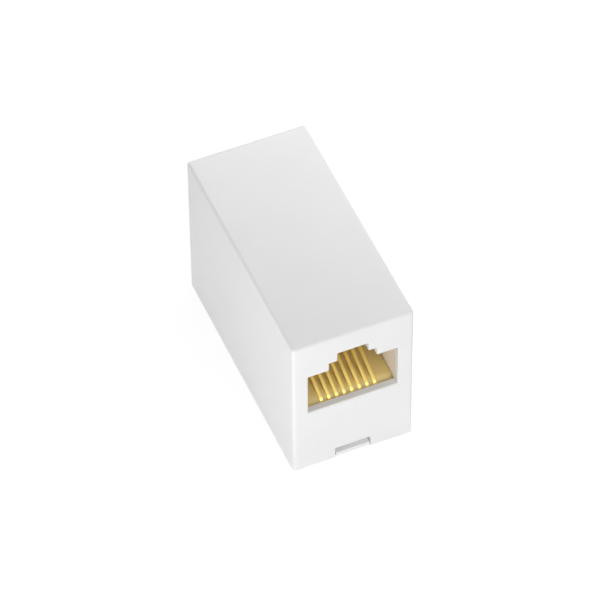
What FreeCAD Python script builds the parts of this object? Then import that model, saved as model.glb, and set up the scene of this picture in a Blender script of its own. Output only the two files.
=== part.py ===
"""Inline coupler that joins two eight-contact network plugs end to end.

A five-sided housing is closed from below by a snap-in cover. Inside it a circuit board
carries two sockets, back to back, each made of a jack body, a contact carrier and eight
contacts bent from gold-plated strip.

Millimetres. +Z is up, +Y runs from port A to port B, and the origin is the centre of the
underside. The pieces of a port are drawn at port A, and port B's are turned half round.
"""

import FreeCAD, Part
from collections import namedtuple
import math
import os
import re

import Sketcher

# Driving dimensions: name, millimetres, what it is.
DIMENSIONS = [
    ("plug_width", 11.9, "plug opening, across"),
    ("plug_height", 6.8, "plug opening, floor to ceiling beside the latch"),
    ("shoulder_width", 6.3, "lower step of the latch notch, across"),
    ("shoulder_rise", 1.3, "lower step of the latch notch, above the ceiling"),
    ("latch_width", 4.1, "upper step of the latch notch, across"),
    ("latch_rise", 2.7, "upper step of the latch notch, above the ceiling"),
    ("port_depth", 12.0, "port face to the stop that the plug's nose meets"),
    ("latch_catch", 1.6, "port face to the shoulders that hold the latch"),
    ("latch_room_width", 6.6, "space that the latch springs up into, across"),
    ("latch_room_end", 10.5, "port face to the end of that space"),
    ("side_wall", 1.2, "housing's side wall"),
    ("end_wall", 1.0, "housing's wall that the plug enters through"),
    ("roof_wall", 1.3, "housing's roof"),
    ("edge_round", 0.45, "radius on the housing's outer edges"),
    ("lead_in", 0.15, "chamfer round the plug opening in the housing's face"),
    ("rib_width", 1.0, "cross ribs under the roof that back the jack bodies"),
    ("rib_drop", 4.0, "how far those ribs hang below the roof"),
    ("fit_gap", 0.1, "clearance between the housing and what drops into it"),
    ("jack_wall", 0.75, "jack body beside the plug"),
    ("jack_roof", 1.8, "jack body above the latch"),
    ("jack_back", 0.75, "jack body behind the comb"),
    ("jack_spacing", 4.4, "between the backs of the two jack bodies"),
    ("core_wall", 0.9, "plastic left round the hollows in the jack body's top"),
    ("comb_depth", 1.8, "comb slots, back from the plug stop"),
    ("comb_height", 5.3, "comb slots, above the plug opening's floor"),
    ("comb_gap", 0.08, "clearance each side of a contact in its comb slot"),
    ("board_thickness", 1.6, "circuit board"),
    ("board_gap", 0.2, "circuit board to the housing's walls"),
    ("board_corner", 0.5, "radius on the circuit board's corners"),
    ("peg_diameter", 1.2, "locating pegs under the jack body"),
    ("peg_side_inset", 1.25, "jack body's side to the peg's axis"),
    ("peg_back_inset", 2.3, "jack body's back to the peg's axis"),
    ("peg_setback", 0.2, "peg's end to the board's lower face"),
    ("peg_gap", 0.1, "clearance round a peg in the circuit board"),
    ("carrier_height", 2.7, "contact carrier, whose top is the plug opening's floor"),
    ("carrier_gap", 0.05, "contact carrier to the jack body round it"),
    ("carrier_step", 7.0, "port face to where the carrier narrows"),
    ("carrier_rim", 0.34, "carrier's tail beside the outermost contacts' share"),
    ("carrier_nose", 1.3, "radius on the carrier's front edge"),
    ("contact_width", 0.46, "contact strip, across"),
    ("contact_thickness", 0.3, "contact strip, through"),
    ("contact_pitch", 1.016, "from one contact to the next"),
    ("contact_bend", 0.6, "bend above the pin, radius of the strip's centre line"),
    ("contact_run", 0.75, "contact's flat run above the circuit board, on its centre line"),
    ("contact_front", 0.15, "housing's end wall to the foremost point of the contacts"),
    ("contact_crest", 0.05, "top of the contact's front bend, above the plug floor"),
    ("contact_rise", 3.7, "contact's free end above the plug floor"),
    ("contact_reach", 0.8, "how far the contact's free end goes into the comb"),
    ("core_gap", 0.03, "clearance between a contact and the bar that it bends over"),
    ("groove_end", 4.75, "port face to the end of the open groove in the carrier's top"),
    ("pin_inset", 1.6, "jack body's back to the rear row of pins"),
    ("pin_row_step", 2.54, "from one row of pins to the next"),
    ("pin_tail", 1.0, "pin below the circuit board"),
    ("cover_thickness", 1.8, "cover's plate, as high as the notches in the end walls"),
    ("cover_edge", 0.15, "chamfer round the cover's lower face"),
    ("tongue_width", 4.5, "tongue at each end of the cover, across"),
    ("tongue_thickness", 0.75, "that tongue, which leaves a slot above it for a blade"),
    ("tongue_setback", 0.05, "port face to the end of the tongue"),
    ("tongue_gap", 0.15, "clearance beside the tongue in its notch"),
    ("post_height", 4.2, "posts that hold up the circuit board, above the plate"),
    ("post_width", 1.8, "those posts, across"),
    ("post_length", 3.0, "those posts, along the cover"),
    ("post_inset", 0.6, "circuit board's edges to the posts"),
    ("clip_length", 4.0, "snap clips, along the cover"),
    ("clip_thickness", 0.9, "snap clip's leg"),
    ("clip_span", 14.0, "between the clips of one side, along the cover"),
    ("clip_rise", 1.8, "clip's holding face above the plate"),
    ("clip_hook", 0.4, "how far the clip reaches into the side wall"),
    ("clip_nose", 1.2, "height of the clip's sloping nose"),
    ("clip_gap", 0.15, "clearance beside, beyond and above the clip in its groove"),
]

CONTACTS = 8
CLEAR = "1"  # millimetres that a cut runs past the face it opens
SAME = 1e-4  # millimetres within which two places count as one

# Widths across X.
JACK_WIDTH = "(plug_width + 2 * jack_wall)"
HOLLOW_WIDTH = f"({JACK_WIDTH} + 2 * fit_gap)"
BODY_WIDTH = f"({HOLLOW_WIDTH} + 2 * side_wall)"
COVER_WIDTH = JACK_WIDTH
BOARD_WIDTH = f"({HOLLOW_WIDTH} - 2 * board_gap)"
CARRIER_WIDTH = "(plug_width - 2 * carrier_gap)"
CARRIER_TAIL = f"({CONTACTS} * contact_pitch + 2 * carrier_rim)"

# Heights above the underside.
CLIP_CATCH = "(cover_thickness + clip_rise)"
CLIP_TOP = f"({CLIP_CATCH} + clip_nose)"
BOARD_UNDERSIDE = "(cover_thickness + post_height)"
BOARD_TOP = f"({BOARD_UNDERSIDE} + board_thickness)"
PLUG_FLOOR = f"({BOARD_TOP} + carrier_height)"
PLUG_CEILING = f"({PLUG_FLOOR} + plug_height)"
LATCH_CEILING = f"({PLUG_CEILING} + latch_rise)"
JACK_TOP = f"({LATCH_CEILING} + jack_roof)"
ROOF_INSIDE = f"({JACK_TOP} + fit_gap)"
BODY_HEIGHT = f"({ROOF_INSIDE} + roof_wall)"

# Places along Y at port A, counted back from the middle of the coupler.
JACK_REAR = "(-jack_spacing / 2)"
CARRIER_REAR = f"({JACK_REAR} - jack_back - carrier_gap)"
PLUG_STOP = f"({JACK_REAR} - jack_back - comb_depth)"
FACE = f"({PLUG_STOP} - port_depth)"
END_WALL_INSIDE = f"({FACE} + end_wall)"
JACK_FRONT = f"({END_WALL_INSIDE} + fit_gap)"
LATCH_CATCH = f"({FACE} + latch_catch)"
LATCH_ROOM_END = f"({FACE} + latch_room_end)"
CARRIER_FRONT = f"({END_WALL_INSIDE} + contact_front)"
CARRIER_STEP = f"({FACE} + carrier_step)"
GROOVE_END = f"({FACE} + groove_end)"
BOARD_END = f"({END_WALL_INSIDE} + board_gap)"
COVER_END = f"({END_WALL_INSIDE} + fit_gap)"
PIN_ROWS = [f"({JACK_REAR} - pin_inset - pin_row_step)", f"({JACK_REAR} - pin_inset)"]

# A contact's centre line in side view.
PIN_END = f"({BOARD_UNDERSIDE} - pin_tail)"
CONTACT_RUN = f"({BOARD_TOP} + contact_run)"
CONTACT_TOP = f"({PLUG_FLOOR} + contact_crest - contact_thickness / 2)"
FRONT_BEND = f"(({CONTACT_TOP} - {CONTACT_RUN}) / 2)"
FRONT_BEND_Y = f"({CARRIER_FRONT} + contact_thickness / 2 + {FRONT_BEND})"
FRONT_BEND_Z = f"({CONTACT_RUN} + {FRONT_BEND})"
CONTACT_END_Y = f"({PLUG_STOP} + contact_reach)"
CONTACT_END_Z = f"({PLUG_FLOOR} + contact_rise)"
BAR_RADIUS = f"({FRONT_BEND} - contact_thickness / 2 - core_gap)"

Circle = namedtuple("Circle", "across up diameter")

doc = FreeCAD.newDocument("InlineCoupler")
sheet = doc.addObject("Spreadsheet::Sheet", "Sizes")
for row, (size_name, size, meaning) in enumerate(DIMENSIONS, start=1):
    sheet.set(f"A{row}", size_name)
    sheet.set(f"B{row}", str(size))
    sheet.set(f"C{row}", meaning)
    sheet.setAlias(f"B{row}", size_name)
doc.recompute()

SIZE_NAMES = {size_name for size_name, size, meaning in DIMENSIONS}


def value(expression):
    """What an expression comes to with the sheet's sizes."""
    return float(sheet.evalExpression(expression))


def bind(thing, target, expression):
    """Ties a property or a constraint to the sheet's cells."""
    def cell(word):
        return "Sizes." + word[0] if word[0] in SIZE_NAMES else word[0]
    thing.setExpression(target, re.sub(r"[a-z_]+", cell, expression))


def half_turn(port):
    """Where a port's pieces go: port A's stay as drawn, and port B's are turned half round."""
    angle = {"a": 0, "b": 180}[port]
    return FreeCAD.Placement(FreeCAD.Vector(), FreeCAD.Rotation(FreeCAD.Vector(0, 0, 1), angle))


def new_body(label):
    body = doc.addObject("PartDesign::Body", label)
    body.Label = label
    return body


def origin_feature(body, role):
    """One of a body's origin planes or axes."""
    return next(feature for feature in body.Origin.OriginFeatures if feature.Role == role)


def new_sketch(body, name, plane, level):
    """A sketch parallel to an origin plane, at a level along that plane's axis."""
    facing = "-" if plane == "XZ" else ""  # a sketch on the XZ plane faces -Y
    sketch = body.newObject("Sketcher::SketchObject", name)
    sketch.AttachmentSupport = [(origin_feature(body, plane + "_Plane"), "")]
    sketch.MapMode = "FlatFace"
    bind(sketch, "AttachmentOffset.Base.z", f"{facing}({level})")
    return sketch


def constrain(sketch, expression, kind, *references):
    """A dimension of the sketch, tied to the sheet."""
    index = sketch.addConstraint(Sketcher.Constraint(kind, *references, value(expression)))
    bind(sketch, f"Constraints[{index}]", expression)


def locate(sketch, geometry, point, across, up):
    """Holds a point of the sketch at its two distances from the sketch's origin."""
    constrain(sketch, across, "DistanceX", -1, 1, geometry, point)
    constrain(sketch, up, "DistanceY", -1, 1, geometry, point)


def draw(sketch, outline):
    """A circle, or straight lines from corner to corner and back to the first."""
    if isinstance(outline, Circle):
        centre = FreeCAD.Vector(value(outline.across), value(outline.up), 0)
        radius = value(outline.diameter) / 2
        circle = sketch.addGeometry(Part.Circle(centre, FreeCAD.Vector(0, 0, 1), radius))
        constrain(sketch, outline.diameter, "Diameter", circle)
        locate(sketch, circle, 3, outline.across, outline.up)
        return
    spots = [FreeCAD.Vector(value(across), value(up), 0) for across, up in outline]
    lines = [
        sketch.addGeometry(Part.LineSegment(spot, spots[(i + 1) % len(spots)]))
        for i, spot in enumerate(spots)
    ]
    for i, line in enumerate(lines):
        sketch.addConstraint(Sketcher.Constraint("Coincident", line, 2, lines[(i + 1) % len(lines)], 1))
        locate(sketch, line, 1, *outline[i])


def extrude(body, kind, name, plane, low, high, outlines):
    """A Pad or Pocket of closed outlines, between two levels along the plane's axis."""
    starts_low = (kind == "Pad") == (plane != "XZ")
    sketch = new_sketch(body, name + "Sketch", plane, low if starts_low else high)
    for outline in outlines:
        draw(sketch, outline)
    feature = body.newObject("PartDesign::" + kind, name)
    feature.Profile = sketch
    bind(feature, "Length", f"({high}) - ({low})")
    return feature


def repeat_across(body, name, feature, step, count):
    """Copies of a feature in a row along +X."""
    pattern = body.newObject("PartDesign::LinearPattern", name)
    pattern.Originals = [feature]
    pattern.Direction = (origin_feature(body, "X_Axis"), [""])
    pattern.Mode = "Spacing"
    pattern.Occurrences = count
    bind(pattern, "Offset", step)
    body.Tip = pattern
    return pattern


def dress(body, kind, name, size, chosen):
    """A Fillet or Chamfer on the edges whose bounding box is chosen."""
    doc.recompute()
    base = body.Tip
    edges = [f"Edge{n}" for n, edge in enumerate(base.Shape.Edges, start=1) if chosen(edge.BoundBox)]
    feature = body.newObject("PartDesign::" + kind, name)
    feature.Base = (base, edges)
    bind(feature, {"Fillet": "Radius", "Chamfer": "Size"}[kind], size)
    return feature


def at(first, second):
    """Whether two coordinates are the same."""
    return abs(first - second) < SAME


def is_upright(box):
    return box.ZLength > SAME and at(box.XLength, 0) and at(box.YLength, 0)


def mirrored(right_half):
    """A closed outline from the corners right of the sketch's upright axis, bottom to top."""
    return right_half + [(f"-({across})", up) for across, up in reversed(right_half)]


def rectangle(width, low, high):
    """A rectangle centred on the sketch's upright axis."""
    return mirrored([(f"{width} / 2", low), (f"{width} / 2", high)])


def box_between(left, right, low, high):
    return [(left, low), (right, low), (right, high), (left, high)]


def contact_x(number):
    """Where contact 0 to 7 of a port stands across X."""
    return f"({number - (CONTACTS - 1) / 2} * contact_pitch)"


def pin_section(number):
    """The outline of a contact's pin, seen from above at port A."""
    x, y = contact_x(number), PIN_ROWS[number % 2]
    return box_between(
        f"{x} - contact_width / 2",
        f"{x} + contact_width / 2",
        f"{y} - contact_thickness / 2",
        f"{y} + contact_thickness / 2",
    )


def plug_opening():
    """The plug's outline with the two steps of its latch above it."""
    shoulder = f"({PLUG_CEILING} + shoulder_rise)"
    return mirrored([
        ("plug_width / 2", PLUG_FLOOR),
        ("plug_width / 2", PLUG_CEILING),
        ("shoulder_width / 2", PLUG_CEILING),
        ("shoulder_width / 2", shoulder),
        ("latch_width / 2", shoulder),
        ("latch_width / 2", LATCH_CEILING),
    ])


def make_housing():
    """A box open below, with a plug opening and a tongue notch through each end wall."""
    body = new_body("housing")
    extrude(body, "Pad", "Block", "XY", "0", BODY_HEIGHT, [rectangle(BODY_WIDTH, FACE, f"-{FACE}")])
    dress(body, "Fillet", "OuterEdges", "edge_round", lambda box: box.ZMax > SAME)
    hollow = rectangle(HOLLOW_WIDTH, END_WALL_INSIDE, f"-{END_WALL_INSIDE}")
    extrude(body, "Pocket", "Hollow", "XY", f"-{CLEAR}", ROOF_INSIDE, [hollow])

    far_side = f"(-{FACE} + {CLEAR})"
    extrude(body, "Pocket", "PlugOpenings", "XZ", f"-{far_side}", far_side, [plug_opening()])
    notch_width = "(tongue_width + 2 * tongue_gap)"
    notch = rectangle(notch_width, f"-{CLEAR}", "cover_thickness")
    extrude(body, "Pocket", "TongueNotches", "XZ", f"-{far_side}", far_side, [notch])
    face, half_opening, opening_floor = value(f"-{FACE}"), value("plug_width / 2"), value(PLUG_FLOOR)
    dress(
        body, "Chamfer", "LeadIn", "lead_in",
        lambda box: at(abs(box.Center.y), face) and at(box.YLength, 0) and box.ZMin > opening_floor - SAME
        and max(-box.XMin, box.XMax) < half_opening + SAME,
    )

    rib_front = f"({JACK_REAR} + fit_gap)"
    rib_back = f"({rib_front} + rib_width)"
    ribs = [
        rectangle(HOLLOW_WIDTH, rib_front, rib_back),
        rectangle(HOLLOW_WIDTH, f"-{rib_back}", f"-{rib_front}"),
    ]
    extrude(body, "Pad", "Ribs", "XY", f"{ROOF_INSIDE} - rib_drop", ROOF_INSIDE, ribs)

    groove_reach = f"({HOLLOW_WIDTH} / 2 + clip_hook + clip_gap)"
    grooves = [
        box_between(
            f"{side} * clip_span / 2 - clip_length / 2 - clip_gap",
            f"{side} * clip_span / 2 + clip_length / 2 + clip_gap",
            CLIP_CATCH,
            f"{CLIP_TOP} + clip_gap",
        )
        for side in (-1, 1)
    ]
    extrude(body, "Pocket", "ClipGrooves", "YZ", f"-{groove_reach}", groove_reach, grooves)
    return body


def make_base_cover():
    """The plate that closes the housing, with thin end tongues, board posts and snap clips."""
    body = new_body("base_cover")
    plate = rectangle(COVER_WIDTH, COVER_END, f"-{COVER_END}")
    extrude(body, "Pad", "Plate", "XY", "0", "cover_thickness", [plate])
    tongue_end = f"({FACE} + tongue_setback)"
    tongues = rectangle("tongue_width", tongue_end, f"-{tongue_end}")
    extrude(body, "Pad", "Tongues", "XY", "0", "tongue_thickness", [tongues])
    dress(body, "Chamfer", "LowerEdge", "cover_edge", lambda box: box.ZMax < SAME)

    post_x = f"({BOARD_WIDTH} / 2 - post_inset)"
    post_y = f"({BOARD_END} + post_inset)"
    for name, low, high in (
        ("PostsA", post_y, f"({post_y} + post_length)"),
        ("PostsB", f"(-{post_y} - post_length)", f"-{post_y}"),
    ):
        posts = [
            box_between(f"{post_x} - post_width", post_x, "cover_thickness", BOARD_UNDERSIDE),
            box_between(f"-{post_x}", f"-{post_x} + post_width", "cover_thickness", BOARD_UNDERSIDE),
        ]
        extrude(body, "Pad", name, "XZ", low, high, posts)

    outside = f"({COVER_WIDTH} / 2)"
    hook_tip = f"({HOLLOW_WIDTH} / 2 + clip_hook)"
    for side in (-1, 1):
        profile = [
            (f"{side} * ({outside} - clip_thickness)", "cover_thickness"),
            (f"{side} * {outside}", "cover_thickness"),
            (f"{side} * {outside}", CLIP_CATCH),
            (f"{side} * {hook_tip}", CLIP_CATCH),
            (f"{side} * {outside}", CLIP_TOP),
            (f"{side} * ({outside} - clip_thickness)", CLIP_TOP),
        ]
        for end in (-1, 1):
            middle = f"{end} * clip_span / 2"
            name = f"Clip{'West' if side < 0 else 'East'}{'A' if end < 0 else 'B'}"
            low, high = f"{middle} - clip_length / 2", f"{middle} + clip_length / 2"
            extrude(body, "Pad", name, "XZ", low, high, [profile])
    return body


def peg_places():
    """The two pegs of the jack body at port A."""
    peg_x = f"({JACK_WIDTH} / 2 - peg_side_inset)"
    peg_y = f"({JACK_REAR} - peg_back_inset)"
    return [(f"-{peg_x}", peg_y), (peg_x, peg_y)]


def make_circuit_board():
    """The board that carries both sockets. Solder fills its holes, close round each pin."""
    body = new_body("circuit_board")
    board = rectangle(BOARD_WIDTH, BOARD_END, f"-{BOARD_END}")
    extrude(body, "Pad", "Board", "XY", BOARD_UNDERSIDE, BOARD_TOP, [board])
    dress(body, "Fillet", "Corners", "board_corner", is_upright)

    pins = []
    for number in range(CONTACTS):
        pin = pin_section(number)
        pins += [pin, [(f"-({x})", f"-({y})") for x, y in pin]]
    extrude(body, "Pocket", "PinOpenings", "XY", BOARD_UNDERSIDE, BOARD_TOP, pins)
    holes = []
    for x, y in peg_places():
        diameter = "peg_diameter + 2 * peg_gap"
        holes += [Circle(x, y, diameter), Circle(f"-{x}", f"-{y}", diameter)]
    extrude(body, "Pocket", "PegHoles", "XY", BOARD_UNDERSIDE, BOARD_TOP, holes)
    return body


def make_jack_body(port):
    """The moulding that guides the plug, holds its latch and keeps the contacts apart."""
    body = new_body(f"jack_body_{port}")
    block = rectangle(JACK_WIDTH, JACK_FRONT, JACK_REAR)
    extrude(body, "Pad", "Block", "XY", BOARD_TOP, JACK_TOP, [block])
    before = f"({JACK_FRONT} - {CLEAR})"
    cavity = rectangle("plug_width", PLUG_FLOOR, PLUG_CEILING)
    extrude(body, "Pocket", "PlugCavity", "XZ", before, PLUG_STOP, [cavity])
    extrude(body, "Pocket", "LatchNotch", "XZ", before, LATCH_CATCH, [plug_opening()])
    latch_room = rectangle("latch_room_width", PLUG_FLOOR, LATCH_CEILING)
    extrude(body, "Pocket", "LatchRoom", "XZ", LATCH_CATCH, LATCH_ROOM_END, [latch_room])

    channel = mirrored([
        ("plug_width / 2", before),
        ("plug_width / 2", f"{CARRIER_STEP} + carrier_gap"),
        (f"{CARRIER_TAIL} / 2 + carrier_gap", f"{CARRIER_STEP} + carrier_gap"),
        (f"{CARRIER_TAIL} / 2 + carrier_gap", f"{CARRIER_REAR} + carrier_gap"),
    ])
    channel_roof = f"({PLUG_FLOOR} + carrier_gap)"
    extrude(body, "Pocket", "CarrierChannel", "XY", f"{BOARD_TOP} - {CLEAR}", channel_roof, [channel])

    slot_left = f"({contact_x(0)} - contact_width / 2 - comb_gap)"
    slot_right = f"({contact_x(0)} + contact_width / 2 + comb_gap)"
    slot = box_between(slot_left, slot_right, PLUG_FLOOR, f"{PLUG_FLOOR} + comb_height")
    comb_end = f"({PLUG_STOP} + comb_depth)"
    first_slot = extrude(body, "Pocket", "CombSlot", "XZ", f"{PLUG_STOP} - {CLEAR}", comb_end, [slot])
    repeat_across(body, "Comb", first_slot, "contact_pitch", CONTACTS)

    hollow_front = f"({JACK_FRONT} + core_wall)"
    hollow_back = f"({JACK_REAR} - core_wall)"
    inner = "(latch_room_width / 2 + core_wall)"
    outer = f"({JACK_WIDTH} / 2 - core_wall)"
    hollows = [
        box_between(inner, outer, hollow_front, hollow_back),
        box_between(f"-{outer}", f"-{inner}", hollow_front, hollow_back),
        rectangle("latch_room_width", f"{LATCH_ROOM_END} + core_wall", hollow_back),
    ]
    above = f"({JACK_TOP} + {CLEAR})"
    extrude(body, "Pocket", "TopHollows", "XY", f"{PLUG_CEILING} + core_wall", above, hollows)

    pegs = [Circle(x, y, "peg_diameter") for x, y in peg_places()]
    extrude(body, "Pad", "Pegs", "XY", f"{BOARD_UNDERSIDE} + peg_setback", BOARD_TOP, pegs)
    body.Placement = half_turn(port)
    return body


def make_contact_carrier(port):
    """The insert under the plug, grooved for the contacts that bend over the bar in its nose."""
    body = new_body(f"contact_carrier_{port}")
    plan = mirrored([
        (f"{CARRIER_WIDTH} / 2", CARRIER_FRONT),
        (f"{CARRIER_WIDTH} / 2", CARRIER_STEP),
        (f"{CARRIER_TAIL} / 2", CARRIER_STEP),
        (f"{CARRIER_TAIL} / 2", CARRIER_REAR),
    ])
    extrude(body, "Pad", "Block", "XY", BOARD_TOP, PLUG_FLOOR, [plan])
    front, top = value(CARRIER_FRONT), value(PLUG_FLOOR)
    dress(body, "Fillet", "Nose", "carrier_nose", lambda box: at(box.YMax, front) and at(box.ZMin, top))

    before = f"({CARRIER_FRONT} - {CLEAR})"
    below = f"({BOARD_TOP} - {CLEAR})"
    above = f"({PLUG_FLOOR} + {CLEAR})"
    bar_low = f"({FRONT_BEND_Z} - {BAR_RADIUS})"
    bar_top = f"({FRONT_BEND_Z} + {BAR_RADIUS})"
    behind = f"({CARRIER_REAR} + {CLEAR})"
    groove = [
        (before, below),
        (behind, below),
        (behind, bar_low),
        (GROOVE_END, bar_low),
        (GROOVE_END, above),
        (before, above),
    ]
    groove_left = f"({contact_x(0)} - contact_width / 2)"
    groove_right = f"({contact_x(0)} + contact_width / 2)"
    first_groove = extrude(body, "Pocket", "Groove", "YZ", groove_left, groove_right, [groove])
    repeat_across(body, "Grooves", first_groove, "contact_pitch", CONTACTS)

    last_right = f"({contact_x(CONTACTS - 1)} + contact_width / 2)"
    bar = Circle(FRONT_BEND_Y, FRONT_BEND_Z, f"2 * {BAR_RADIUS}")
    web = box_between(FRONT_BEND_Y, GROOVE_END, bar_low, bar_top)
    extrude(body, "Pad", "Bar", "YZ", groove_left, last_right, [bar])
    extrude(body, "Pad", "BarWeb", "YZ", groove_left, last_right, [web])
    body.Placement = half_turn(port)
    return body


def draw_contact_path(sketch, pin_row):
    """Up from the pin, forward under the carrier, round its nose and back up to the comb."""
    pin, run, bend = value(pin_row), value(CONTACT_RUN), value("contact_bend")
    nose = FreeCAD.Vector(value(FRONT_BEND_Y), value(FRONT_BEND_Z), 0)
    nose_radius = value(FRONT_BEND)
    end = FreeCAD.Vector(value(CONTACT_END_Y), value(CONTACT_END_Z), 0)
    to_end = end - nose
    leaving = math.atan2(to_end.y, to_end.x) + math.acos(nose_radius / to_end.Length)
    leaving_point = nose + FreeCAD.Vector(math.cos(leaving), math.sin(leaving), 0) * nose_radius
    normal = FreeCAD.Vector(0, 0, 1)
    bend_circle = Part.Circle(FreeCAD.Vector(pin - bend, run - bend, 0), normal, bend)
    nose_circle = Part.Circle(nose, normal, nose_radius)
    pin_line, pin_bend, run_line, nose_bend, slope = sketch.addGeometry([
        Part.LineSegment(FreeCAD.Vector(pin, value(PIN_END), 0), FreeCAD.Vector(pin, run - bend, 0)),
        Part.ArcOfCircle(bend_circle, 0, math.pi / 2),
        Part.LineSegment(FreeCAD.Vector(pin - bend, run, 0), FreeCAD.Vector(nose.x, run, 0)),
        Part.ArcOfCircle(nose_circle, leaving, 3 * math.pi / 2),
        Part.LineSegment(leaving_point, end),
    ])
    for first, first_end, second, second_end in (
        (pin_line, 2, pin_bend, 1),
        (pin_bend, 2, run_line, 1),
        (run_line, 2, nose_bend, 2),
        (nose_bend, 1, slope, 1),
    ):
        sketch.addConstraint(Sketcher.Constraint("Tangent", first, first_end, second, second_end))
    sketch.addConstraint(Sketcher.Constraint("Vertical", pin_line))
    sketch.addConstraint(Sketcher.Constraint("Horizontal", run_line))
    locate(sketch, pin_line, 1, pin_row, PIN_END)
    constrain(sketch, "contact_bend", "Radius", pin_bend)
    constrain(sketch, CONTACT_RUN, "DistanceY", -1, 1, run_line, 2)
    constrain(sketch, FRONT_BEND, "Radius", nose_bend)
    constrain(sketch, FRONT_BEND_Y, "DistanceX", -1, 1, nose_bend, 3)
    locate(sketch, slope, 2, CONTACT_END_Y, CONTACT_END_Z)


def make_contact(port, number):
    """One strip, from its pin below the board to its free end in the comb."""
    body = new_body(f"contact_{port}{number + 1}")
    path = new_sketch(body, "Path", "YZ", contact_x(number))
    draw_contact_path(path, PIN_ROWS[number % 2])
    section = new_sketch(body, "Section", "XY", PIN_END)
    draw(section, pin_section(number))
    strip = body.newObject("PartDesign::AdditivePipe", "Strip")
    strip.Profile = section
    strip.Spine = (path, [f"Edge{n + 1}" for n in range(path.GeometryCount)])
    body.Placement = half_turn(port)
    return body


def check(nodes):
    """Stops if an object failed, a cut missed its solid, or a node isn't whole."""
    for thing in doc.Objects:
        if {"Invalid", "Error"} & set(thing.State):
            raise RuntimeError(f"{thing.Label} failed: {thing.State}")
        if thing.TypeId == "PartDesign::Pocket":
            if thing.Shape.Volume > thing.BaseFeature.Shape.Volume - 1e-6:
                raise RuntimeError(f"{thing.Label} cuts nothing")
    for node in nodes:
        if node.Shape.isNull() or not node.Shape.isValid():
            raise RuntimeError(f"{node.Label} has no sound shape")
        if len(node.Shape.Solids) != 1:
            raise RuntimeError(f"{node.Label} has {len(node.Shape.Solids)} solids")


def make_coupler():
    """Every node of the coupler."""
    nodes = [make_housing(), make_base_cover(), make_circuit_board()]
    for port in "ab":
        nodes += [make_jack_body(port), make_contact_carrier(port)]
        nodes += [make_contact(port, number) for number in range(CONTACTS)]
    return nodes


coupler = make_coupler()
doc.recompute()
check(coupler)
os.makedirs("parts", exist_ok=True)
for node in coupler:
    node.Shape.exportStep(f"parts/{node.Label}.step")
    print(f"{node.Label}: {node.Shape.Volume:.3f} mm3, {len(node.Shape.Faces)} faces")
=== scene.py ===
"""Looks of the inline coupler: finishes for its mouldings, rounded contact strips, a studio and a camera.

Metres, in the part's own frame: +Z up, +Y from port A to port B, origin at the underside's centre.
"""

import math

import bpy
from mathutils import Matrix, Vector


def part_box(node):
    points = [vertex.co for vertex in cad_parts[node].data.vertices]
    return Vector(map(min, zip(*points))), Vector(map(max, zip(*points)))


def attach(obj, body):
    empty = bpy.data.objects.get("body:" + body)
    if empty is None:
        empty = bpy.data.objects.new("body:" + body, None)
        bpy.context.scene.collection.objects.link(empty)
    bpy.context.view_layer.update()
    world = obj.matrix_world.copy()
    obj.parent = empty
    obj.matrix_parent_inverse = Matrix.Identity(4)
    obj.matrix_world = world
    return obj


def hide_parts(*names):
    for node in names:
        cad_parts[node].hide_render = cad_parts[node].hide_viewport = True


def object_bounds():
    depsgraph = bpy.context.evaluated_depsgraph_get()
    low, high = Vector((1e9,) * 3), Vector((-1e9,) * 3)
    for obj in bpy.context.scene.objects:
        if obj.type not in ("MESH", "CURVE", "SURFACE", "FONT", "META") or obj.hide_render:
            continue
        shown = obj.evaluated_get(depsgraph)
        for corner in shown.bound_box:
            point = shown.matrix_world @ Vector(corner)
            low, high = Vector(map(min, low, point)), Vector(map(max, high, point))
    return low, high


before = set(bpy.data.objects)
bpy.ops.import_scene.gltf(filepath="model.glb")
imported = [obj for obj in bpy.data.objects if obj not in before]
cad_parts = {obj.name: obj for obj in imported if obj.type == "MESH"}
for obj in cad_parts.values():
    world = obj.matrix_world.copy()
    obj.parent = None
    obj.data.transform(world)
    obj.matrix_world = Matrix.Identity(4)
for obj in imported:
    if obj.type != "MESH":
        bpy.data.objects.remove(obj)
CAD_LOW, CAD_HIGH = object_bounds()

MM = 0.001
CENTRE = (CAD_LOW + CAD_HIGH) / 2

PORTS = "ab"
CONTACTS = 8

# Camera. It looks at a place a little to the right of the coupler's centre and below it, as it sees them.
# An azimuth of 0 is in front of port A, and one of 90 is on the +X side.
CAMERA_AZIMUTH = -22.8
CAMERA_ELEVATION = 49.6
CAMERA_ROLL = -0.5
CAMERA_DISTANCE = 549 * MM
CAMERA_LENS = 265.5
AIM_RIGHT = 0.10 * MM
AIM_UP = -0.45 * MM

# Lamps: name, azimuth, elevation, distance from the centre, width, watts.
LAMPS = [
    ("key_light", 0, 50, 600 * MM, 350 * MM, 0.89),
    ("front_light", 20, 5, 200 * MM, 120 * MM, 0.126),
    ("left_light", -95, 20, 300 * MM, 120 * MM, 0.116),
    ("near_left_light", -52, 0, 90 * MM, 60 * MM, 0.0385),
    ("near_back_light", 165, 48, 90 * MM, 60 * MM, 0.0145),
    ("right_light", 120, 45, 120 * MM, 80 * MM, 0.0515),
]
SKY_LEVEL = 0.2

# Floor. A share of it glows white in view, and the rest takes light and shadow.
FLOOR_REACH = 2000 * MM
FLOOR_DROP = 0.05 * MM
FLOOR_GLOW = 1.16
FLOOR_GLOW_SHARE = 0.7

# Contact strip, with soft edges along it.
STRIP_WIDTH = 0.46 * MM
STRIP_THICKNESS = 0.3 * MM
STRIP_EDGE = 0.06 * MM
EDGE_STEPS = 3
BEND_STEPS = 14
CREASE_ANGLE = math.radians(40)

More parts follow.
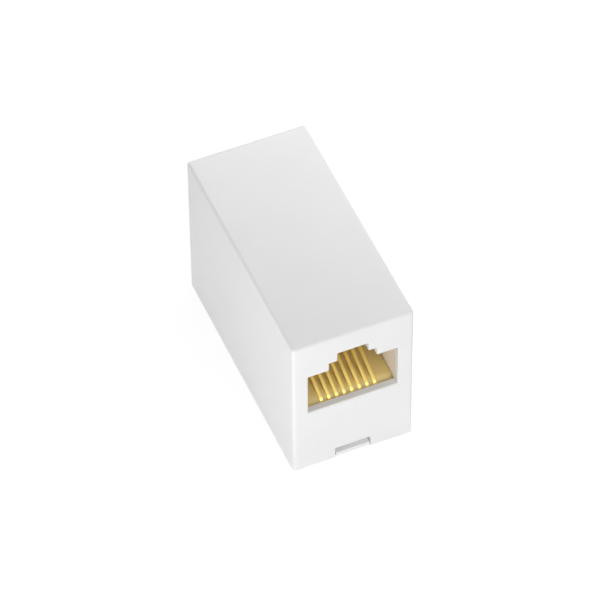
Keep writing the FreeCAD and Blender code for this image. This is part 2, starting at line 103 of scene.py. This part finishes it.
# Its route: up a pin from below the circuit board, along the board towards the port, round the carrier's
# front bar and up a slope to the free end. Insets are from the jack body's back.
PIN_INSET = 1.6 * MM
PIN_ROW_STEP = 2.54 * MM
PIN_BEND = 0.6 * MM
RUN_ABOVE_BOARD = 0.75 * MM
CREST_ABOVE_CARRIER = 0.05 * MM
FREE_END_ABOVE_CARRIER = 3.7 * MM
FREE_END_INSET = 1.75 * MM

# Colours, linear.
WHITE_PLASTIC = (0.85, 0.85, 0.85)
CREAM_PLASTIC = (0.88, 0.81, 0.72)
# The carrier's amber is partly its own warm plastic and partly painted reflection: gold light from the
# contacts laid into its colour.
AMBER_PLASTIC_AND_GOLD_BOUNCE = (0.81, 0.64, 0.26)
BRIGHT_GOLD = (1.0, 0.82, 0.29)
DEEP_GOLD = (1.0, 0.76, 0.24)
BOARD_GREEN = (0.015, 0.11, 0.045)
FLOOR_WHITE = (0.9, 0.9, 0.9)

# Plastic: sizes of its marks, and how far its tone and roughness go to either side of the plain ones.
GRAIN_SIZE = 0.12 * MM
GRAIN_DEPTH = 0.016 * MM
RIPPLE_SIZE = 2.5 * MM
RIPPLE_DEPTH = 0.006 * MM
FLOW_SIZE = 9 * MM
SPECKLE_SIZE = 0.6 * MM
SPECKLE_SHARE = 0.35
DARK_TONE = 0.985
LIGHT_TONE = 1.01
GLOSSIER = 0.05
DULLER = 0.07

# Gold: lines drawn out along the strip, under clouds.
LINE_SIZE = 0.05 * MM
LINE_DEPTH = 0.002 * MM
LINE_SCALE_ALONG = 0.06
CLOUD_SIZE = 1.2 * MM
GOLD_ROUGHNESS = (0.40, 0.50)

# Board: its tracks are about 0.64 mm apart.
CONTACT_PITCH = 1.016 * MM
TRACK_SCALE = 0.5 / CONTACT_PITCH
TRACK_HEIGHT = 0.03 * MM
TRACK_TONE = 1.8


# Materials

def new_material(name):
    """A material, its tree, its shader and its Object coordinates."""
    material = bpy.data.materials.new(name)
    material.use_nodes = True
    tree = material.node_tree
    shader = tree.nodes["Principled BSDF"]
    place = tree.nodes.new("ShaderNodeTexCoord")
    return material, tree, shader, place.outputs["Object"]


def set_inputs(node, settings):
    """Sets a node's inputs, given by name or number."""
    for socket, setting in settings.items():
        node.inputs[socket].default_value = setting


def noise(tree, place, size, detail=4.0, roughness=0.55):
    """Noise whose features are about so many metres across."""
    node = tree.nodes.new("ShaderNodeTexNoise")
    set_inputs(node, {"Scale": 1 / size, "Detail": detail, "Roughness": roughness})
    tree.links.new(place, node.inputs["Vector"])
    return node.outputs["Fac"]


def spread(tree, source, low, high):
    """A factor whose middle range, where noise mostly lies, is drawn out to run from low to high."""
    node = tree.nodes.new("ShaderNodeMapRange")
    set_inputs(node, {"From Min": 0.3, "From Max": 0.7, "To Min": low, "To Max": high})
    tree.links.new(source, node.inputs["Value"])
    return node.outputs["Result"]


def between(tree, source, first, second):
    """A colour that goes from the first to the second with a factor."""
    node = tree.nodes.new("ShaderNodeMix")
    node.data_type = "RGBA"
    set_inputs(node, {"A": (*first, 1), "B": (*second, 1)})
    tree.links.new(source, node.inputs["Factor"])
    return node.outputs["Result"]


def bump(tree, height, depth, below=None):
    """A bump of so many metres, on top of another."""
    node = tree.nodes.new("ShaderNodeBump")
    set_inputs(node, {"Strength": 1.0, "Distance": depth})
    tree.links.new(height, node.inputs["Height"])
    if below is not None:
        tree.links.new(below, node.inputs["Normal"])
    return node.outputs["Normal"]


def scaled(colour, factor):
    """A colour made lighter or darker."""
    return tuple(channel * factor for channel in colour)


def moulded_plastic(name, colour, roughness):
    """Plastic from a spark-eroded mould: fine grain, a faint flow of tone and uneven gloss."""
    material, tree, shader, place = new_material(name)
    flow = noise(tree, place, FLOW_SIZE, detail=2.0)
    speckle = noise(tree, place, SPECKLE_SIZE)
    grain = noise(tree, place, GRAIN_SIZE, detail=3.0, roughness=0.7)
    tone = tree.nodes.new("ShaderNodeMath")
    tone.operation = "MULTIPLY_ADD"
    set_inputs(tone, {1: SPECKLE_SHARE})
    tree.links.new(speckle, tone.inputs[0])
    tree.links.new(flow, tone.inputs[2])
    factor = spread(tree, tone.outputs[0], 0.0, 1.0)
    shade = between(tree, factor, scaled(colour, DARK_TONE), scaled(colour, LIGHT_TONE))
    gloss = spread(tree, grain, roughness - GLOSSIER, roughness + DULLER)
    ripple = bump(tree, noise(tree, place, RIPPLE_SIZE, detail=1.0), RIPPLE_DEPTH)
    tree.links.new(shade, shader.inputs["Base Color"])
    tree.links.new(gloss, shader.inputs["Roughness"])
    tree.links.new(bump(tree, grain, GRAIN_DEPTH, ripple), shader.inputs["Normal"])
    set_inputs(shader, {
        "IOR": 1.53,
        "Specular IOR Level": 0.45,
        "Subsurface Weight": 0.08,
        "Subsurface Radius": (0.9, 0.8, 0.7),
        "Subsurface Scale": 0.6 * MM,
    })
    return material


def gold_plate():
    """Bright gold over drawn strip: lines along the strip, and gloss and tone that change in clouds."""
    material, tree, shader, place = new_material("gold_plate")
    along = tree.nodes.new("ShaderNodeMapping")
    set_inputs(along, {"Scale": (1.0, LINE_SCALE_ALONG, LINE_SCALE_ALONG)})
    tree.links.new(place, along.inputs["Vector"])
    lines = noise(tree, along.outputs["Vector"], LINE_SIZE, detail=3.0)
    cloud = noise(tree, place, CLOUD_SIZE)
    tree.links.new(between(tree, cloud, BRIGHT_GOLD, DEEP_GOLD), shader.inputs["Base Color"])
    tree.links.new(spread(tree, cloud, *GOLD_ROUGHNESS), shader.inputs["Roughness"])
    tree.links.new(bump(tree, lines, LINE_DEPTH), shader.inputs["Normal"])
    set_inputs(shader, {"Metallic": 1.0})
    return material


def solder_mask():
    """Green board with raised tracks under a glossy mask."""
    material, tree, shader, place = new_material("solder_mask")
    tracks = tree.nodes.new("ShaderNodeTexWave")
    tracks.bands_direction = "X"
    set_inputs(tracks, {"Scale": TRACK_SCALE, "Distortion": 1.2, "Detail Scale": 0.4})
    tree.links.new(place, tracks.inputs["Vector"])
    edge = spread(tree, tracks.outputs["Fac"], 0.0, 1.0)
    shade = between(tree, edge, BOARD_GREEN, scaled(BOARD_GREEN, TRACK_TONE))
    tree.links.new(shade, shader.inputs["Base Color"])
    tree.links.new(bump(tree, edge, TRACK_HEIGHT), shader.inputs["Normal"])
    set_inputs(shader, {"Roughness": 0.28})
    return material


def paint(node, material):
    """Gives a carried-over CAD node its finish."""
    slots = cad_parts[node].data.materials
    slots.clear()
    slots.append(material)


# Contacts

def strip_tree():
    """Geometry Nodes that round a route's corners and sweep a soft-edged strip along it."""
    tree = bpy.data.node_groups.new("contact_strip", "GeometryNodeTree")
    sockets = tree.interface
    sockets.new_socket("Route", in_out="INPUT", socket_type="NodeSocketGeometry")
    for label in ("Strip width", "Strip thickness", "Edge radius"):
        sockets.new_socket(label, in_out="INPUT", socket_type="NodeSocketFloat")
    sockets.new_socket("Finish", in_out="INPUT", socket_type="NodeSocketMaterial")
    sockets.new_socket("Strip", in_out="OUTPUT", socket_type="NodeSocketGeometry")

    def node(kind, inputs=None, **settings):
        made = tree.nodes.new(kind)
        for key, setting in settings.items():
            setattr(made, key, setting)
        set_inputs(made, inputs or {})
        return made

    def link(source, output, target, socket):
        tree.links.new(source.outputs[output], target.inputs[socket])

    inputs = node("NodeGroupInput")
    outputs = node("NodeGroupOutput")
    to_curve = node("GeometryNodeMeshToCurve")
    radius = node("GeometryNodeInputNamedAttribute", {"Name": "bend_radius"}, data_type="FLOAT")
    rounded = node("GeometryNodeFilletCurve", {"Count": BEND_STEPS}, mode="POLY")
    level = node("GeometryNodeSetCurveNormal", {"Normal": (1, 0, 0)}, mode="FREE")
    outline = node("GeometryNodeCurvePrimitiveQuadrilateral")
    soft_outline = node("GeometryNodeFilletCurve", {"Count": EDGE_STEPS}, mode="POLY")
    sweep = node("GeometryNodeCurveToMesh", {"Fill Caps": True})
    realize = node("GeometryNodeRealizeInstances")
    finish = node("GeometryNodeSetMaterial")

    link(inputs, "Route", to_curve, "Mesh")
    link(to_curve, "Curve", rounded, "Curve")
    link(radius, "Attribute", rounded, "Radius")
    link(rounded, "Curve", level, "Curve")
    link(inputs, "Strip width", outline, "Width")
    link(inputs, "Strip thickness", outline, "Height")
    link(outline, "Curve", soft_outline, "Curve")
    link(inputs, "Edge radius", soft_outline, "Radius")
    link(level, "Curve", sweep, "Curve")
    link(soft_outline, "Curve", sweep, "Profile Curve")
    link(sweep, "Mesh", realize, "Geometry")
    link(realize, "Geometry", finish, "Geometry")
    link(inputs, "Finish", finish, "Material")
    link(finish, "Geometry", outputs, "Strip")
    return tree


def made_by(tree, name, mesh, settings):
    """A plain mesh object: what a Geometry Nodes tree makes of a mesh with these settings."""
    source = bpy.data.objects.new(name + "_source", mesh)
    bpy.context.scene.collection.objects.link(source)
    modifier = source.modifiers.new("shape", "NODES")
    modifier.node_group = tree
    for item in tree.interface.items_tree:
        if item.item_type == "SOCKET" and item.in_out == "INPUT" and item.name in settings:
            modifier[item.identifier] = settings[item.name]
    shown = source.evaluated_get(bpy.context.evaluated_depsgraph_get())
    made = bpy.data.objects.new(name, bpy.data.meshes.new_from_object(shown))
    bpy.data.objects.remove(source)
    bpy.context.scene.collection.objects.link(made)
    return made


def port_a_box(node, port):
    """A node's corners, turned half round the middle of the coupler where they are port B's."""
    low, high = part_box(node)
    if port == "a":
        return low, high
    return Vector((-high.x, -high.y, low.z)), Vector((-low.x, -low.y, high.z))


def contact_route(port, number):
    """A contact's corners from the pin's lower end to the free end, and the radius of its bend at each."""
    low, high = port_a_box(f"contact_{port}{number}", port)
    jack_back = port_a_box(f"jack_body_{port}", port)[1].y
    carrier_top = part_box(f"contact_carrier_{port}")[1].z
    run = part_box("circuit_board")[1].z + RUN_ABOVE_BOARD
    pin = jack_back - PIN_INSET - (PIN_ROW_STEP if number % 2 else 0)

    # Centre of the bend round the bar, and the free end, in side view: along the coupler, and up.
    nose_radius = (carrier_top + CREST_ABOVE_CARRIER - STRIP_THICKNESS / 2 - run) / 2
    nose = Vector((low.y + STRIP_THICKNESS / 2 + nose_radius, run + nose_radius))
    free_end = Vector((jack_back - FREE_END_INSET, carrier_top + FREE_END_ABOVE_CARRIER))

    # That bend turns the run into the slope, so its corner lies where those two lines meet.
    to_end = free_end - nose
    angle = math.atan2(to_end.y, to_end.x) + math.acos(nose_radius / to_end.length)
    slope = angle - math.pi / 2
    corner = free_end.x - (free_end.y - run) / math.tan(slope)

    x = (low.x + high.x) / 2
    places = [(pin, low.z), (pin, run), (corner, run), free_end]
    return [Vector((x, y, z)) for y, z in places], [0, PIN_BEND, nose_radius, 0]


def contact_strip(port, number, tree, finish):
    """One contact as a soft-edged strip, in place of its plain one."""
    places, radii = contact_route(port, number)
    mesh = bpy.data.meshes.new("route")
    mesh.from_pydata(places, [(n, n + 1) for n in range(len(places) - 1)], [])
    radius = mesh.attributes.new("bend_radius", "FLOAT", "POINT")
    radius.data.foreach_set("value", radii)
    sizes = {"Strip width": STRIP_WIDTH, "Strip thickness": STRIP_THICKNESS, "Edge radius": STRIP_EDGE}
    strip = made_by(tree, f"contact_strip_{port}{number}", mesh, {**sizes, "Finish": finish})
    if port == "b":
        strip.data.transform(Matrix.Rotation(math.pi, 4, "Z"))
    strip.data.shade_smooth()
    strip.data.set_sharp_from_angle(angle=CREASE_ANGLE)
    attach(strip, "root")
    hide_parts(f"contact_{port}{number}")


# Studio

def away(azimuth, elevation):
    """The direction from the coupler's centre to an azimuth and elevation, in degrees."""
    across, up = math.radians(azimuth), math.radians(elevation)
    return Vector((math.sin(across) * math.cos(up), -math.cos(across) * math.cos(up), math.sin(up)))


def camera():
    """A long lens on the port A end, from above and to the left."""
    data = bpy.data.cameras.new("camera")
    data.lens = CAMERA_LENS
    data.clip_start = CAMERA_DISTANCE / 50
    data.clip_end = CAMERA_DISTANCE * 10
    eye = bpy.data.objects.new("camera", data)
    bpy.context.scene.collection.objects.link(eye)
    back = away(CAMERA_AZIMUTH, CAMERA_ELEVATION)
    roll = Matrix.Rotation(math.radians(CAMERA_ROLL), 4, "Z")
    turn = (-back).to_track_quat("-Z", "Y").to_matrix().to_4x4() @ roll
    aim = CENTRE + turn.to_3x3() @ Vector((AIM_RIGHT, AIM_UP, 0))
    eye.matrix_world = Matrix.Translation(aim + back * CAMERA_DISTANCE) @ turn
    bpy.context.scene.camera = eye


def softbox(name, azimuth, elevation, distance, width, power):
    """A square lamp that faces the coupler."""
    data = bpy.data.lights.new(name, "AREA")
    data.size = width
    data.energy = power
    lamp = bpy.data.objects.new(name, data)
    bpy.context.scene.collection.objects.link(lamp)
    back = away(azimuth, elevation)
    lamp.location = CENTRE + back * distance
    lamp.rotation_euler = (-back).to_track_quat("-Z", "Y").to_euler()


def in_view(tree):
    """1 for a ray that shows a surface, straight, reflected or through glass, and 0 for one that lights."""
    path = tree.nodes.new("ShaderNodeLightPath")
    seen = tree.nodes.new("ShaderNodeMath")
    seen.operation = "ADD"
    shown = tree.nodes.new("ShaderNodeMath")
    shown.operation = "ADD"
    shown.use_clamp = True
    tree.links.new(path.outputs["Is Camera Ray"], seen.inputs[0])
    tree.links.new(path.outputs["Is Glossy Ray"], seen.inputs[1])
    tree.links.new(seen.outputs[0], shown.inputs[0])
    tree.links.new(path.outputs["Is Transmission Ray"], shown.inputs[1])
    return shown.outputs[0]


def floor_white():
    """Matt white, a share of which glows white in view."""
    material = bpy.data.materials.new("floor_white")
    material.use_nodes = True
    tree = material.node_tree
    tree.nodes.clear()
    out = tree.nodes.new("ShaderNodeOutputMaterial")
    matt = tree.nodes.new("ShaderNodeBsdfDiffuse")
    set_inputs(matt, {"Color": (*FLOOR_WHITE, 1)})
    glow = tree.nodes.new("ShaderNodeEmission")
    set_inputs(glow, {"Strength": FLOOR_GLOW})
    share = tree.nodes.new("ShaderNodeMath")
    share.operation = "MULTIPLY"
    set_inputs(share, {1: FLOOR_GLOW_SHARE})
    mix = tree.nodes.new("ShaderNodeMixShader")
    tree.links.new(in_view(tree), share.inputs[0])
    tree.links.new(share.outputs[0], mix.inputs["Fac"])
    tree.links.new(matt.outputs[0], mix.inputs[1])
    tree.links.new(glow.outputs[0], mix.inputs[2])
    tree.links.new(mix.outputs[0], out.inputs["Surface"])
    return material


def floor():
    """A plain floor just under the coupler."""
    mesh = bpy.data.meshes.new("floor")
    corners = [(-1, -1), (1, -1), (1, 1), (-1, 1)]
    places = [(x * FLOOR_REACH, y * FLOOR_REACH, -FLOOR_DROP) for x, y in corners]
    mesh.from_pydata(places, [], [(0, 1, 2, 3)])
    mesh.materials.append(floor_white())
    ground = bpy.data.objects.new("floor", mesh)
    bpy.context.scene.collection.objects.link(ground)


def sky():
    """An even white sky that shows white in view, and lights at its own level."""
    studio = bpy.data.worlds.new("studio")
    bpy.context.scene.world = studio
    studio.use_nodes = True
    tree = studio.node_tree
    backdrop = tree.nodes["Background"]
    set_inputs(backdrop, {"Color": (1, 1, 1, 1)})
    level = tree.nodes.new("ShaderNodeMapRange")
    set_inputs(level, {"To Min": SKY_LEVEL, "To Max": 1.0})
    tree.links.new(in_view(tree), level.inputs["Value"])
    tree.links.new(level.outputs["Result"], backdrop.inputs["Strength"])


paint("housing", moulded_plastic("housing_plastic", WHITE_PLASTIC, roughness=0.42))
paint("base_cover", moulded_plastic("cover_plastic", WHITE_PLASTIC, roughness=0.45))
paint("circuit_board", solder_mask())
jack_plastic = moulded_plastic("jack_plastic", CREAM_PLASTIC, roughness=0.38)
# Carrier plastic whose amber colour partly holds a painted reflection of the gold contacts.
carrier_plastic_and_gold_bounce = moulded_plastic("carrier_plastic_and_gold_bounce", AMBER_PLASTIC_AND_GOLD_BOUNCE, roughness=0.38)
gold = gold_plate()
strips = strip_tree()
for port in PORTS:
    paint(f"jack_body_{port}", jack_plastic)
    paint(f"contact_carrier_{port}", carrier_plastic_and_gold_bounce)
    for number in range(1, CONTACTS + 1):
        paint(f"contact_{port}{number}", gold)
        contact_strip(port, number, strips, gold)

camera()
sky()
for lamp in LAMPS:
    softbox(*lamp)
floor()
bpy.context.scene.view_settings.view_transform = "Standard"
